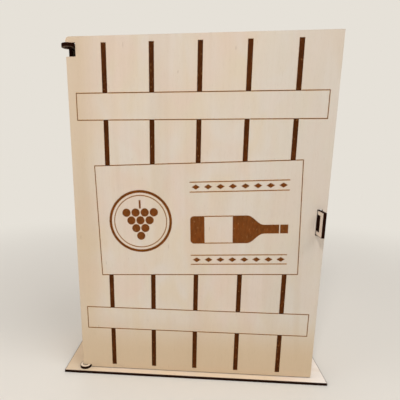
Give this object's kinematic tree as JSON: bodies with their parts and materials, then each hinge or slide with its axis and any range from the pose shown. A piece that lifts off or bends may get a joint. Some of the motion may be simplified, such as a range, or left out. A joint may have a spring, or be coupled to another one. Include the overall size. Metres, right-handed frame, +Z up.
{
  "type": "wooden wine box",
  "caption": "Upright plywood gift box for wine bottles with a pin-hinged engraved front door, a hasp tab and a wide base plate.",
  "frame": {"origin": "underside of the base plate, below the centre of the bottle bays", "axes": "+X to the right seen from the front, +Y to the back, +Z up"},
  "size_m": [0.2934, 0.1245, 0.3563],
  "materials": {
    "birch_plywood": "bare sanded birch veneer, laser-cut edges burnt dark brown",
    "engraved_birch": "bare sanded birch veneer with dark laser engraving and burnt edges"
  },
  "bodies": {
    "carcass": {"base_plate": "birch_plywood", "floor_plate": "birch_plywood", "left_wall": "birch_plywood", "right_wall": "birch_plywood", "back_wall": "birch_plywood", "left_divider": "birch_plywood", "right_divider": "birch_plywood", "top_plate": "birch_plywood"},
    "door": {"door": "engraved_birch"}
  },
  "joints": [
    {"name": "door_swing", "type": "hinge", "parent": "carcass", "child": "door", "pos_m": [-0.1244, -0.0475, 0.18], "axis": [0, 0, -1], "range_deg": [0, 225]}
  ]
}
